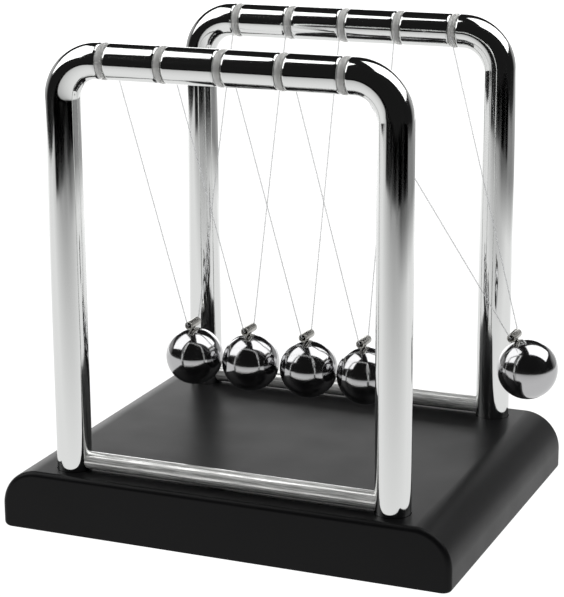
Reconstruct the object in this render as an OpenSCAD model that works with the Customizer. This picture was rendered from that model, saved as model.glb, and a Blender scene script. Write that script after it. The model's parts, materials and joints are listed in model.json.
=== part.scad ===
// Five-ball momentum toy: a black base, two bent chrome frames and five steel balls on clear lines.
// Millimetres, +Z up, X along the row of balls, -Y to the front, Z = 0 under the rubber pad.

/* [Base] */
// Height of the moulded base
base_h = 22; // [20:0.5:34]
// Distance from a leg's centre to the nearer end of the base
base_end = 24.6; // [22:0.2:40]
// Distance from a leg's centre to the front or the back of the base
base_edge = 11.1; // [10.5:0.1:20]
// Radius that rounds both ends of the base over to the top
end_r = 14; // [8:0.5:16]
// Radius along the front and back edges of the top
edge_r = 2; // [1:0.25:3]
// Radius under both ends of the base
under_r = 1.5; // [0.5:0.25:2.5]
// Thickness of the moulded walls and top
shell_wall = 3; // [2:0.25:4]
// Width of the ledge inside the walls that the cover rests on
ledge = 2; // [1:0.5:3]

/* [Base parts] */
// Thickness of the cover plate under the base
cover_t = 2; // [1.5:0.25:3]
// Gap between the cover plate and the walls around it
cover_fit = 0.2; // [0.1:0.05:0.4]
// Thickness of the rubber pad under the cover plate
pad_t = 1.2; // [1:0.1:2]
// How far the pad stands out below the base
pad_out = 0.8; // [0.5:0.1:0.9]
// Distance from the edge of the cover plate to the edge of the pad
pad_inset = 2.5; // [1:0.5:6]
// Thickness of the steel ballast plate
ballast_t = 5; // [2:0.5:8]
// Thread diameter of the cover screws
cover_screw_d = 3; // [2.5:0.5:3]
// Thread diameter of the screws that hold the legs
leg_screw_d = 4; // [3:0.5:5]
// Thickness of the floor under a leg that its screw clamps
boss_floor = 3; // [2:0.5:5]
// Wall around the socket of a leg
boss_wall = 2.4; // [1.6:0.2:3]

/* [Frames] */
// Outer diameter of the frame tube
tube_d = 12.7; // [12:0.1:14]
// Wall of the frame tube
tube_wall = 1.8; // [1.7:0.1:2.5]
// Centreline radius of the two bends of a frame
bend_r = 14; // [11:0.5:18]
// Distance from an outermost line to the start of the bend beside it
rail_margin = 3.2; // [2.6:0.1:12]
// Distance between the front frame and the rear frame, centre to centre
frame_gap = 113.6; // [90:0.2:150]
// Height of the rail axis above the top of the base
rail_rise = 148.8; // [120:0.2:200]
// Radial gap between a leg and its socket
socket_gap = 0.15; // [0.05:0.05:0.4]
// Diameter of the cross bar between two legs
bar_d = 6.4; // [5:0.1:7.5]
// Gap between a cross bar and the top of the base
bar_lift = 0.3; // [0.1:0.1:3]

/* [Grooves and rings] */
// Depth of a groove in the rail
groove_depth = 1.1; // [1:0.05:1.2]
// Width of the floor of a groove
groove_w = 2.6; // [2.2:0.1:3]
// Rounding of a groove's shoulders
shoulder_r = 1; // [0.6:0.1:1.1]
// Width of a clear ring
ring_w = 2.4; // [1.8:0.1:2.5]
// Thickness of a clear ring
ring_t = 0.5; // [0.4:0.05:0.6]
// Hole in a ring that the line leaves through
ring_hole_d = 0.9; // [0.8:0.1:1.2]

/* [Balls and lines] */
// Diameter of a ball
ball_d = 21.6; // [18:0.1:26]
// Gap between two neighbouring balls that hang straight down
ball_gap = 0.4; // [0.1:0.05:0.8]
// Height of a ball that hangs straight down above the top of the base
ball_lift = 17.75; // [8:0.05:40]
// Outer diameter of the sleeve on a ball
sleeve_d = 3.2; // [2.4:0.1:4]
// Length of the sleeve on a ball
sleeve_len = 8; // [6:0.5:12]
// Bore of the sleeve
sleeve_bore = 1.1; // [0.8:0.1:1.4]
// Gap between the sleeve and the ball
neck_gap = 0.3; // [0.3:0.1:2]
// Diameter of the stud that joins the sleeve to the ball
stud_d = 1.8; // [1.2:0.1:2.2]
// Length of the stud inside the ball
stud_len = 4; // [2:0.5:6]
// Diameter of a suspension line
line_d = 0.45; // [0.3:0.05:0.6]
// Bend of a line where it leaves its sleeve
line_bend_r = 0.8; // [0.6:0.1:1.5]
// Free gap between a line's end and its ring
line_gap = 0.1; // [0.05:0.05:0.3]
// Angle below level at which a line meets its ring
line_tip = 8; // [0:1:20]

/* [Swing] */
// Lean of ball 1 to the right, in degrees
swing_1 = 2.2; // [2:0.1:2.4]
// Lean of ball 2 to the right, in degrees
swing_2 = 2.8; // [2.7:0.1:2.9]
// Lean of ball 3 to the right, in degrees
swing_3 = 3.5; // [3.4:0.1:3.7]
// Lean of ball 4 to the right, in degrees
swing_4 = 3.8; // [3.7:0.1:4]
// Lean of ball 5 to the right, in degrees
swing_5 = 23.2; // [16:0.2:40]

/* [Hidden] */
$fn = 96;
line_fn = 24;
cut = 1;

// Balls and frames
pitch = ball_d + ball_gap;
rail_half = 2 * pitch + rail_margin;
leg_x = rail_half + bend_r;
frame_y = frame_gap / 2;
tube_r = tube_d / 2;
tube_bore = tube_d - 2 * tube_wall;

// Base, from the table up
base_len = 2 * (leg_x + base_end);
base_depth = 2 * (frame_y + base_edge);
base_z0 = pad_out;
base_top = base_z0 + base_h;
cover_z0 = pad_t;
cover_top = cover_z0 + cover_t;
cover_x = base_len / 2 - shell_wall;
cover_y = base_depth / 2 - shell_wall;
cover_r = 4;
pad_x = cover_x - cover_fit - pad_inset;
pad_y = cover_y - cover_fit - pad_inset;

// Screws, washers and what they go through
head_gap = 0.3;
head_h = 2.4;
head_d = 2 * leg_screw_d - 0.6;
hex_d = 0.8 * leg_screw_d;
hex_depth = 1.4;
washer_t = 0.8;
washer_d = 2 * leg_screw_d + 1;
washer_hole = leg_screw_d + 0.3;
boss_bore = leg_screw_d + 0.6;
boss_z0 = cover_top + head_gap + head_h + washer_t;
leg_z0 = boss_z0 + boss_floor;
socket_d = tube_d + 2 * socket_gap;
boss_d = socket_d + 2 * boss_wall;
insert_len = 11;
insert_fit = 0.05;
insert_cap = 2;
thread_d = leg_screw_d - 0.7;
thread_fit = 0.02;
tip_gap = 1;
post_d = 8;
post_x = leg_x - boss_d / 2 - post_d - 5;
post_y = cover_y - post_d;
cover_screw_len = 8;
cover_head_d = 2 * cover_screw_d;
cover_head_h = 0.45 * cover_screw_d;
cover_head_sink = 0.1;
cover_pilot_d = cover_screw_d - 0.5;
slot_w = 0.7;
ballast_r = 3;
ballast_x = leg_x - boss_d / 2 - 6;
ballast_y = post_y - post_d / 2 - 3;

// Rails, grooves, rings and cross bars
rail_z = base_top + rail_rise;
bend_z = rail_z - bend_r;
bar_z = base_top + bar_lift + bar_d / 2;
bar_fit = 0.05;
bar_stub = 1;
bar_half = leg_x - tube_bore / 2 + bar_stub;
floor_r = tube_r - groove_depth;
lip = 0.06 * shoulder_r;
wrap_r = floor_r + line_d / 2 + 0.02;
ring_in = floor_r + line_d + 0.06;
ring_out = min(ring_in + ring_t, tube_r - 0.02);

// Swing axis and the run of a line from its sleeve up to it
tip_r = ring_out + line_gap + line_d / 2;
pivot_y = frame_y - tip_r * cos(line_tip);
pivot_z = rail_z - tip_r * sin(line_tip);
drop = pivot_z - base_top - ball_lift - ball_d / 2;
sleeve_drop = drop - ball_d / 2 - neck_gap - sleeve_d / 2;
stud_end_gap = 0.3;
stud_reach = sleeve_d / 2 + neck_gap + stud_len - stud_end_gap;
swings = [swing_1, swing_2, swing_3, swing_4, swing_5];
bend_y = sleeve_len / 2;
run_y = pivot_y - bend_y;
run_z = sleeve_drop - line_bend_r;
run_d = sqrt(run_y * run_y + run_z * run_z);
line_tilt = round(1000 * (atan2(run_y, run_z) - asin(line_bend_r / run_d))) / 1000;
line_run = sqrt(run_d * run_d - line_bend_r * line_bend_r);

function groove_x(i) = (i - 3) * pitch;

// Upright outline of the base, drawn in by a given amount on its top and ends
module base_outline(inset) {
    x = base_len / 2;
    for (side = [-1, 1]) {
        translate([side * (x - end_r), base_top - end_r])
            intersection() {
                circle(end_r - inset);
                translate([-end_r, 0])
                    square([2 * end_r, end_r]);
            }
        translate([side * (x - inset - under_r), base_z0 + under_r])
            circle(under_r);
    }
    translate([end_r - x, base_z0 + under_r])
        square([2 * (x - end_r), base_h - under_r - inset]);
    translate([inset - x, base_z0 + under_r])
        square([2 * (x - inset), base_h - end_r - under_r]);
    translate([inset + under_r - x, base_z0])
        square([2 * (x - inset - under_r), base_h - end_r]);
}

// The base outline made a slab of a given depth, centred on Y
module base_slab(depth, inset) {
    translate([0, depth / 2, 0])
        rotate([90, 0, 0])
            linear_extrude(depth)
                base_outline(inset);
}

// Round rim along the front (-1) or back (1) edge of the top and down both ends
module base_rim(side) {
    x = base_len / 2;
    translate([0, side * (base_depth / 2 - edge_r), 0]) {
        translate([end_r - x, 0, base_top - edge_r])
            rotate([0, 90, 0])
                cylinder(h = 2 * (x - end_r), r = edge_r);
        for (end = [-1, 1]) {
            translate([end * (x - end_r), 0, base_top - end_r])
                rotate([90, 0, 0])
                    rotate([0, 0, end > 0 ? 0 : 90])
                        rotate_extrude(angle = 90)
                            translate([end_r - edge_r, 0])
                                circle(edge_r);
            translate([end * (x - edge_r), 0, base_z0 + under_r])
                cylinder(h = base_h - end_r - under_r, r = edge_r);
        }
    }
}

module base_body() {
    base_slab(base_depth - 2 * edge_r, 0);
    base_slab(base_depth, edge_r);
    base_rim(-1);
    base_rim(1);
}

// Hollow under the top, rounded at both ends, that leaves the ledge for the cover
module base_hollow() {
    r = end_r - shell_wall - ledge;
    x = base_len / 2 - shell_wall - ledge;
    top = base_top - shell_wall;
    depth = base_depth - 2 * (shell_wall + ledge);
    translate([0, depth / 2, 0])
        rotate([90, 0, 0])
            linear_extrude(depth) {
                translate([-x, 0])
                    square([2 * x, top - r]);
                translate([r - x, 0])
                    square([2 * (x - r), top]);
                for (side = [-1, 1]) {
                    translate([side * (x - r), top - r])
                        circle(r);
                }
            }
}

module rounded_plate(x, y, r, t) {
    linear_extrude(t) {
        square([2 * x, 2 * (y - r)], center = true);
        square([2 * (x - r), 2 * y], center = true);
        for (sx = [-1, 1]) {
            for (sy = [-1, 1]) {
                translate([sx * (x - r), sy * (y - r)])
                    circle(r);
            }
        }
    }
}

module at_legs(sides = [-1, 1]) {
    for (sx = [-1, 1]) {
        for (sy = sides) {
            translate([sx * leg_x, sy * frame_y, 0])
                children();
        }
    }
}

module at_posts() {
    for (sx = [-1, 1]) {
        for (sy = [-1, 1]) {
            translate([sx * post_x, sy * post_y, 0])
                children();
        }
    }
}

module base_shell() {
    color([0.07, 0.07, 0.08])
    difference() {
        base_body();
        difference() {
            base_hollow();
            at_legs()
                translate([0, 0, boss_z0])
                    cylinder(h = base_h, d = boss_d);
            at_posts()
                translate([0, 0, cover_top])
                    cylinder(h = base_h, d = post_d);
        }
        translate([0, 0, base_z0 - cut])
            rounded_plate(cover_x, cover_y, cover_r, cover_top - base_z0 + cut);
        at_legs() {
            translate([0, 0, leg_z0])
                cylinder(h = base_top - leg_z0 + cut, d = socket_d);
            translate([0, 0, boss_z0 - cut])
                cylinder(h = boss_floor + 2 * cut, d = boss_bore);
        }
        at_posts()
            translate([0, 0, cover_top - cut])
                cylinder(h = cover_screw_len, d = cover_pilot_d);
    }
}

module base_cover() {
    color([0.10, 0.10, 0.11])
    difference() {
        translate([0, 0, cover_z0])
            rounded_plate(cover_x - cover_fit, cover_y - cover_fit, cover_r - cover_fit, cover_t);
        at_posts() {
            translate([0, 0, cover_z0 - cut])
                cylinder(h = cover_t + 2 * cut, d = cover_screw_d + 0.4);
            translate([0, 0, cover_z0])
                cylinder(h = cover_head_h, d1 = cover_head_d + 0.2, d2 = cover_screw_d + 0.4);
        }
    }
}

// Countersunk screws with a cross recess that hold the cover plate to its posts
module cover_screws() {
    color([0.62, 0.63, 0.65])
    at_posts()
        translate([0, 0, cover_z0 + cover_head_sink])
            difference() {
                union() {
                    cylinder(h = cover_head_h, d1 = cover_head_d - 0.2, d2 = cover_screw_d);
                    translate([0, 0, cover_head_h])
                        cylinder(
                            h = cover_screw_len - cover_head_h - tip_gap,
                            d = cover_pilot_d - thread_fit
                        );
                }
                for (turn = [0, 90]) {
                    rotate([0, 0, turn])
                        cube([cover_screw_d, slot_w, cover_head_h], center = true);
                }
            }
}

// Pad that the whole object stands on, with holes over the cover screws
module base_pad() {
    color([0.15, 0.15, 0.16])
    difference() {
        rounded_plate(pad_x, pad_y, cover_r, pad_t);
        at_posts()
            translate([0, 0, -cut])
                cylinder(h = pad_t + 2 * cut, d = cover_head_d + 2);
    }
}

module ballast_plate() {
    color([0.42, 0.42, 0.43])
    translate([0, 0, cover_top])
        rounded_plate(ballast_x, ballast_y, ballast_r, ballast_t);
}

// One bent tube run: two legs, two bends and the rail, as a solid bar of a given diameter
module frame_run(d, z0) {
    for (side = [-1, 1]) {
        translate([side * leg_x, 0, z0])
            cylinder(h = bend_z - z0, d = d);
        translate([side * rail_half, 0, bend_z])
            rotate([90, 0, 0])
                rotate([0, 0, side > 0 ? 0 : 90])
                    rotate_extrude(angle = 90)
                        translate([bend_r, 0])
                            circle(d = d);
    }
    translate([-rail_half, 0, rail_z])
        rotate([0, 90, 0])
            cylinder(h = 2 * rail_half, d = d);
}

// The ring of metal taken out of the rail for one groove, with rounded shoulders
module groove_cut() {
    rotate([0, 90, 0])
        rotate_extrude()
            difference() {
                translate([floor_r, -groove_w / 2 - shoulder_r])
                    square([groove_depth + cut, groove_w + 2 * shoulder_r]);
                for (side = [-1, 1]) {
                    translate([tube_r - shoulder_r + lip, side * (groove_w / 2 + shoulder_r)])
                        circle(shoulder_r);
                    translate([floor_r - cut, side > 0 ? groove_w / 2 : -groove_w / 2 - 2 * shoulder_r])
                        square([groove_depth - shoulder_r + cut + lip, 2 * shoulder_r]);
                }
            }
}

module frame_at(sy) {
    color([0.80, 0.81, 0.83])
    translate([0, sy * frame_y, 0])
        difference() {
            frame_run(tube_d, leg_z0);
            frame_run(tube_bore, leg_z0 - cut);
            for (i = [1:5]) {
                translate([groove_x(i), 0, rail_z])
                    groove_cut();
            }
            for (side = [-1, 1]) {
                translate([side * leg_x, 0, bar_z])
                    rotate([0, -side * 90, 0])
                        cylinder(h = tube_d, d = bar_d + 2 * bar_fit);
            }
        }
}

module cross_bar_at(sy) {
    color([0.80, 0.81, 0.83])
    translate([-bar_half, sy * frame_y, bar_z])
        rotate([0, 90, 0])
            cylinder(h = 2 * bar_half, d = bar_d);
}

// Threaded plugs pressed into the foot of each leg of one frame
module leg_inserts_at(sy) {
    color([0.72, 0.66, 0.48])
    at_legs([sy])
        translate([0, 0, leg_z0])
            difference() {
                cylinder(h = insert_len, d = tube_bore - 2 * insert_fit);
                translate([0, 0, -cut])
                    cylinder(h = insert_len - insert_cap + cut, d = thread_d);
            }
}

// Socket screws that pull the legs down into the base from below
module leg_screws() {
    color([0.62, 0.63, 0.65])
    at_legs()
        translate([0, 0, boss_z0 - washer_t])
            difference() {
                union() {
                    translate([0, 0, -head_h])
                        cylinder(h = head_h, d = head_d);
                    cylinder(
                        h = washer_t + boss_floor + insert_len - insert_cap - tip_gap,
                        d = thread_d - thread_fit
                    );
                }
                translate([0, 0, -head_h - cut])
                    cylinder(h = hex_depth + cut, d = hex_d, $fn = 6);
            }
}

module leg_washers() {
    color([0.70, 0.71, 0.72])
    at_legs()
        translate([0, 0, boss_z0 - washer_t])
            difference() {
                cylinder(h = washer_t, d = washer_d);
                translate([0, 0, -cut])
                    cylinder(h = washer_t + 2 * cut, d = washer_hole);
            }
}

// A clear ring in its groove, with the hole for the line on the side that faces the balls
module ring_at(i, sy) {
    color([0.86, 0.88, 0.86, 0.7])
    translate([groove_x(i), sy * frame_y, rail_z])
        difference() {
            rotate([0, 90, 0])
                rotate_extrude()
                    translate([ring_in, -ring_w / 2])
                        square([ring_out - ring_in, ring_w]);
            rotate([sy * (90 + line_tip), 0, 0])
                cylinder(h = tube_d, d = ring_hole_d);
        }
}

// The turn of line that lies in every groove under its ring
module line_wraps_at(sy) {
    color([0.86, 0.88, 0.90, 0.6])
    for (i = [1:5]) {
        translate([groove_x(i), sy * frame_y, rail_z])
            rotate([0, 90, 0])
                rotate_extrude()
                    translate([wrap_r, 0])
                        circle(d = line_d, $fn = line_fn);
    }
}

// Puts a ball's group under its swing axis, leaning by its own angle
module hang(i) {
    translate([groove_x(i), 0, pivot_z])
        rotate([0, -swings[i - 1], 0])
            children();
}

module ball_at(i) {
    color([0.66, 0.67, 0.69])
    hang(i)
        translate([0, 0, -drop])
            difference() {
                sphere(d = ball_d);
                translate([0, 0, ball_d / 2 - stud_len])
                    cylinder(h = stud_len + cut, d = stud_d + thread_fit);
            }
}

// Sleeve that the line runs through, on its stud in the top of the ball
module sleeve_at(i) {
    color([0.60, 0.61, 0.62])
    hang(i)
        translate([0, 0, -sleeve_drop])
            difference() {
                union() {
                    rotate([90, 0, 0])
                        cylinder(h = sleeve_len, d = sleeve_d, center = true);
                    translate([0, 0, -stud_reach])
                        cylinder(h = stud_reach, d = stud_d);
                }
                rotate([90, 0, 0])
                    cylinder(h = sleeve_len + 2 * cut, d = sleeve_bore, center = true);
            }
}

// One line: straight through the sleeve, a bend at each end, then up to both swing points
module line_at(i) {
    color([0.86, 0.88, 0.90, 0.6])
    hang(i)
        translate([0, 0, -sleeve_drop]) {
            rotate([90, 0, 0])
                cylinder(h = sleeve_len, d = line_d, center = true, $fn = line_fn);
            for (side = [0, 180]) {
                rotate([0, 0, side])
                    translate([0, bend_y, line_bend_r]) {
                        rotate([0, 90, 0])
                            rotate_extrude(angle = 90 - line_tilt)
                                translate([line_bend_r, 0])
                                    circle(d = line_d, $fn = line_fn);
                        rotate([-line_tilt, 0, 0])
                            translate([0, line_bend_r, 0])
                                cylinder(h = line_run, d = line_d, $fn = line_fn);
                    }
            }
        }
}

base_shell();
base_cover();
cover_screws();
base_pad();
ballast_plate();
frame_at(-1);  // front_frame
frame_at(1);  // rear_frame
cross_bar_at(-1);  // front_cross_bar
cross_bar_at(1);  // rear_cross_bar
leg_inserts_at(-1);  // front_leg_inserts
leg_inserts_at(1);  // rear_leg_inserts
leg_screws();
leg_washers();
ring_at(1, -1);  // front_ring_1
ring_at(2, -1);  // front_ring_2
ring_at(3, -1);  // front_ring_3
ring_at(4, -1);  // front_ring_4
ring_at(5, -1);  // front_ring_5
ring_at(1, 1);  // rear_ring_1
ring_at(2, 1);  // rear_ring_2
ring_at(3, 1);  // rear_ring_3
ring_at(4, 1);  // rear_ring_4
ring_at(5, 1);  // rear_ring_5
line_wraps_at(-1);  // front_line_wraps
line_wraps_at(1);  // rear_line_wraps
ball_at(1);  // ball_1
ball_at(2);  // ball_2
ball_at(3);  // ball_3
ball_at(4);  // ball_4
ball_at(5);  // ball_5
sleeve_at(1);  // sleeve_1
sleeve_at(2);  // sleeve_2
sleeve_at(3);  // sleeve_3
sleeve_at(4);  // sleeve_4
sleeve_at(5);  // sleeve_5
line_at(1);  // line_1
line_at(2);  // line_2
line_at(3);  // line_3
line_at(4);  // line_4
line_at(5);  // line_5
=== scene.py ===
"""Looks of a five-ball momentum toy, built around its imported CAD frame.

Every piece is a surface worked out on a grid with numpy, in metres, in the frame's own axes: +X along the
row of balls, -Y to the front and Z = 0 under the foam pad.
"""

from __future__ import annotations

import json
import logging
import math
from dataclasses import dataclass
from enum import Enum
from typing import Any

import bmesh
import bpy
import numpy as np
from mathutils import Matrix, Vector

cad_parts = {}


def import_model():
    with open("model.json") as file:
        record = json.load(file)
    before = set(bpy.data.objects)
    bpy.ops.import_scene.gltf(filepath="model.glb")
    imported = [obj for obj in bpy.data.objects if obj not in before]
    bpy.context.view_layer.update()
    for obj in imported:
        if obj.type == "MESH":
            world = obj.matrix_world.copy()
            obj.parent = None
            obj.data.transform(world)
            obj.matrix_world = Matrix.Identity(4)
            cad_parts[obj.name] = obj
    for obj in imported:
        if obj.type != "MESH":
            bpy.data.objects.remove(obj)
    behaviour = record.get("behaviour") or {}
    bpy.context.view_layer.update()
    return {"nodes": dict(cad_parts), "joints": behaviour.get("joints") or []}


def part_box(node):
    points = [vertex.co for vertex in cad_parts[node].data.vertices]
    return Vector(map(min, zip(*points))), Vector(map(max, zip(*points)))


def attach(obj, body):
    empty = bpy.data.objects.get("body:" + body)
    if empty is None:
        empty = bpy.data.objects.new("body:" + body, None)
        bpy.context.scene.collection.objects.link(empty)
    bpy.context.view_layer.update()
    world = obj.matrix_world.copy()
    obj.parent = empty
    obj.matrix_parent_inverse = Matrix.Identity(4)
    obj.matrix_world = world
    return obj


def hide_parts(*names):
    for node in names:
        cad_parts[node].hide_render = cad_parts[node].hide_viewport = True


LOG = logging.getLogger("cradle")
MM = 0.001
SIDES = {"front": -1, "rear": 1}
BALLS = (1, 2, 3, 4, 5)
STAND = "stand"
STRAIGHT = "straight"
WHITE = (1.0, 1.0, 1.0, 1.0)
X_AXIS = np.array([1.0, 0.0, 0.0])


# ---------------------------------------- meshes


def smooth_step(value: np.ndarray) -> np.ndarray:
    """Ease from 0 to 1: three times the square less twice the cube of the clamped value.

    Args:
        value: Any numbers.

    Returns:
        The eased numbers, from 0 to 1.
    """
    clamped = np.clip(value, 0.0, 1.0)
    return clamped * clamped * (3.0 - 2.0 * clamped)


def arc(centre: tuple[float, float], radius: float, start: float, end: float, count: int) -> np.ndarray:
    """Points on a circle's arc: the centre plus the radius times the cosine and sine of the angle.

    Args:
        centre: The circle's centre in the plane.
        radius: The circle's radius.
        start: First angle in degrees.
        end: Last angle in degrees.
        count: Number of points, both ends included.

    Returns:
        An array of count rows of two numbers.
    """
    angle = np.radians(np.linspace(start, end, count))
    return np.stack([centre[0] + radius * np.cos(angle), centre[1] + radius * np.sin(angle)], axis=1)


def whole_circle(count: int) -> np.ndarray:
    """Angles in radians of equal steps round a circle, the end left out."""
    return np.linspace(0.0, 2.0 * math.pi, count, endpoint=False)


def grid_faces(rows: int, columns: int, close_rows: bool, close_columns: bool) -> np.ndarray:
    """Corner numbers of the quads between neighbouring rows and columns of a grid of points.

    Args:
        rows: Number of rows of points.
        columns: Number of points in a row.
        close_rows: Whether the last row joins the first.
        close_columns: Whether the last point of a row joins its first.

    Returns:
        An array with four point numbers for each quad.
    """
    row = np.arange(rows if close_rows else rows - 1)
    column = np.arange(columns if close_columns else columns - 1)
    i, j = np.meshgrid(row, column, indexing="ij")
    after_i, after_j = (i + 1) % rows, (j + 1) % columns
    pairs = ((i, j), (i, after_j), (after_i, after_j), (after_i, j))
    return np.stack([(a * columns + b).ravel() for a, b in pairs], axis=1)


@dataclass
class Shell:
    """Points and faces of one closed surface, and where each point was before its tube was bent."""

    points: np.ndarray
    faces: list[list[int]]
    straight: np.ndarray | None = None

    def moved(self, matrix: Matrix) -> Shell:
        """Copy of the shell with its points turned and shifted by a 4 by 4 matrix."""
        turn = np.array(matrix)
        return Shell(self.points @ turn[:3, :3].T + turn[:3, 3], self.faces)

    def joined(self, other: Shell) -> Shell:
        """One shell that holds this shell's surfaces and another's.

        Args:
            other: The shell to add.

        Returns:
            A new shell, this one's points and faces first.
        """
        shift = len(self.points)
        faces = self.faces + [[corner + shift for corner in face] for face in other.faces]
        return Shell(np.vstack([self.points, other.points]), faces)


def loft(loops: np.ndarray, capped: bool = True, closed: bool = False) -> Shell:
    """Surface through a row of closed loops, each with the same number of points.

    Args:
        loops: Array of loops by points by three coordinates.
        capped: Whether flat faces close the first and the last loop.
        closed: Whether the last loop joins the first, as on a ring.

    Returns:
        The closed shell.
    """
    count, around = loops.shape[:2]
    faces = grid_faces(count, around, closed, True).tolist()
    if capped and not closed:
        faces.append(list(range(around))[::-1])
        faces.append([(count - 1) * around + k for k in range(around)])
    return Shell(loops.reshape(-1, 3), faces)


def revolve(profile: np.ndarray, segments: int, closed: bool) -> Shell:
    """Surface of revolution about Z: a profile's radius and height, turned through a full circle.

    Args:
        profile: Rows of radius and height. An open profile starts and ends on the axis.
        segments: Number of steps round the circle.
        closed: Whether the profile is a closed loop, as on a ring.

    Returns:
        The closed shell.
    """
    angle = whole_circle(segments)
    rings = profile if closed else profile[1:-1]
    radius, height = rings[:, 0][:, None], rings[:, 1][:, None]
    level = height * np.ones_like(angle)
    points = np.stack([radius * np.cos(angle), radius * np.sin(angle), level], axis=2)
    shell = loft(points, capped=False, closed=closed)
    if closed:
        return shell
    first, last = len(shell.points), len(shell.points) + 1
    poles = np.array([[0.0, 0.0, profile[0, 1]], [0.0, 0.0, profile[-1, 1]]])
    end_ring = (len(rings) - 1) * segments
    after = [(k + 1) % segments for k in range(segments)]
    faces = shell.faces + [[first, after[k], k] for k in range(segments)]
    faces += [[last, end_ring + k, end_ring + after[k]] for k in range(segments)]
    return Shell(np.vstack([shell.points, poles]), faces)


def sweep(path: np.ndarray, radius: np.ndarray, binormal: np.ndarray, segments: int) -> np.ndarray:
    """Loops of a round tube: each path point plus its radius times a turning mix of normal and binormal.

    Args:
        path: Points of the centreline.
        radius: Tube radius at each path point.
        binormal: Direction at each path point, or one for all, square to the path.
        segments: Number of points round the tube.

    Returns:
        Array of loops by points by three coordinates.
    """
    tangent = np.gradient(path, axis=0)
    tangent /= np.linalg.norm(tangent, axis=1, keepdims=True)
    side = np.broadcast_to(binormal, path.shape)
    side = side - tangent * np.sum(side * tangent, axis=1, keepdims=True)
    side /= np.linalg.norm(side, axis=1, keepdims=True)
    normal = np.cross(tangent, side)
    angle = whole_circle(segments)[None, :, None]
    ring = np.cos(angle) * side[:, None, :] + np.sin(angle) * normal[:, None, :]
    return path[:, None, :] + np.reshape(radius, (-1, 1, 1)) * ring


def make_object(name: str, shell: Shell, sharp: float = 40.0) -> bpy.types.Object:
    """Mesh object with outward faces, smooth but for the edges that turn by more than an angle.

    Args:
        name: Name of the object and its mesh.
        shell: Points and faces in metres, in the frame's axes.
        sharp: Angle in degrees above which an edge stays sharp.

    Returns:
        The object, linked to the scene at the origin.
    """
    mesh = bpy.data.meshes.new(name)
    mesh.from_pydata(shell.points.tolist(), [], shell.faces)
    if shell.straight is not None:
        layer = mesh.attributes.new(STRAIGHT, "FLOAT_VECTOR", "POINT")
        layer.data.foreach_set("vector", shell.straight.astype(np.float32).ravel())
    finish_mesh(mesh, sharp)
    piece = bpy.data.objects.new(name, mesh)
    bpy.context.scene.collection.objects.link(piece)
    return piece


def finish_mesh(mesh: bpy.types.Mesh, sharp: float) -> None:
    """Turns a mesh's faces outwards and shades it smooth up to an angle.

    Args:
        mesh: The mesh to change.
        sharp: Angle in degrees above which an edge stays sharp.
    """
    work = bmesh.new()
    work.from_mesh(mesh)
    bmesh.ops.recalc_face_normals(work, faces=work.faces)
    for face in work.faces:
        face.smooth = True
    for edge in work.edges:
        edge.smooth = edge.is_manifold and edge.calc_face_angle(0.0) < math.radians(sharp)
    work.to_mesh(mesh)
    work.free()


def carve(piece: bpy.types.Object, cutters: list[bpy.types.Object], sharp: float = 40.0) -> None:
    """Cuts closed shapes out of a piece and removes the cutters.

    Args:
        piece: The object to cut.
        cutters: Closed objects, each taken away in turn.
        sharp: Angle in degrees above which an edge of the result stays sharp.
    """
    for cutter in cutters:
        cut = piece.modifiers.new("cut", "BOOLEAN")
        cut.operation = "DIFFERENCE"
        cut.solver = "EXACT"
        cut.object = cutter
        cut_piece = piece.evaluated_get(bpy.context.evaluated_depsgraph_get())
        result = bpy.data.meshes.new_from_object(cut_piece)
        piece.modifiers.clear()
        piece.data = result
        bpy.data.objects.remove(cutter)
    piece.data.name = piece.name
    heal(piece.data)
    finish_mesh(piece.data, sharp)


def heal(mesh: bpy.types.Mesh) -> None:
    """Mends what cutting leaves in a mesh: points hardly apart, empty faces and small gaps.

    Args:
        mesh: The mesh to change.
    """
    reach = 0.002 * MM
    work = bmesh.new()
    work.from_mesh(mesh)
    bmesh.ops.remove_doubles(work, verts=work.verts, dist=reach)
    bmesh.ops.dissolve_degenerate(work, dist=reach, edges=work.edges)
    bmesh.ops.holes_fill(work, edges=[edge for edge in work.edges if edge.is_boundary], sides=8)
    work.to_mesh(mesh)
    work.free()


def flatten_shading(piece: bpy.types.Object) -> None:
    """Weights normals by face area, so that large flat faces stay flat beside their rounded edges.

    Args:
        piece: The mesh object.
    """
    weighted = piece.modifiers.new("flat faces", "WEIGHTED_NORMAL")
    weighted.keep_sharp = True
    weighted.weight = 100


# ---------------------------------------- materials


def linear(colour: str) -> tuple[float, float, float, float]:
    """Linear colour of an sRGB hex value.

    Args:
        colour: Six hex digits with a leading hash.

    Returns:
        Red, green, blue and an alpha of 1.
    """
    parts = [int(colour[k : k + 2], 16) / 255.0 for k in (1, 3, 5)]
    flat = [p / 12.92 if p <= 0.04045 else ((p + 0.055) / 1.055) ** 2.4 for p in parts]
    return flat[0], flat[1], flat[2], 1.0


def add_node(
    tree: bpy.types.NodeTree, kind: str, settings: dict[str, Any], links: dict[str, Any]
) -> bpy.types.Node:
    """Adds a node with its settings, its input values and its links.

    Args:
        tree: The node tree.
        kind: The node's Blender type name.
        settings: Attributes of the node, or values of its inputs by name or number.
        links: Output sockets that feed its inputs, by input name or number.

    Returns:
        The new node.
    """
    node = tree.nodes.new(kind)
    for key, value in settings.items():
        if isinstance(key, str) and hasattr(node, key):
            setattr(node, key, value)
        else:
            node.inputs[key].default_value = value
    for key, socket in links.items():
        tree.links.new(socket, node.inputs[key])
    return node


@dataclass(frozen=True)
class Ramp:
    """Clamped straight ramp: the result is start up to the value low, and end from the value high on."""

    low: float
    high: float
    start: float
    end: float

    def settings(self) -> dict[str, float]:
        """Input values of a map range node that follows the ramp."""
        return {"From Min": self.low, "From Max": self.high, "To Min": self.start, "To Max": self.end}


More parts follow.
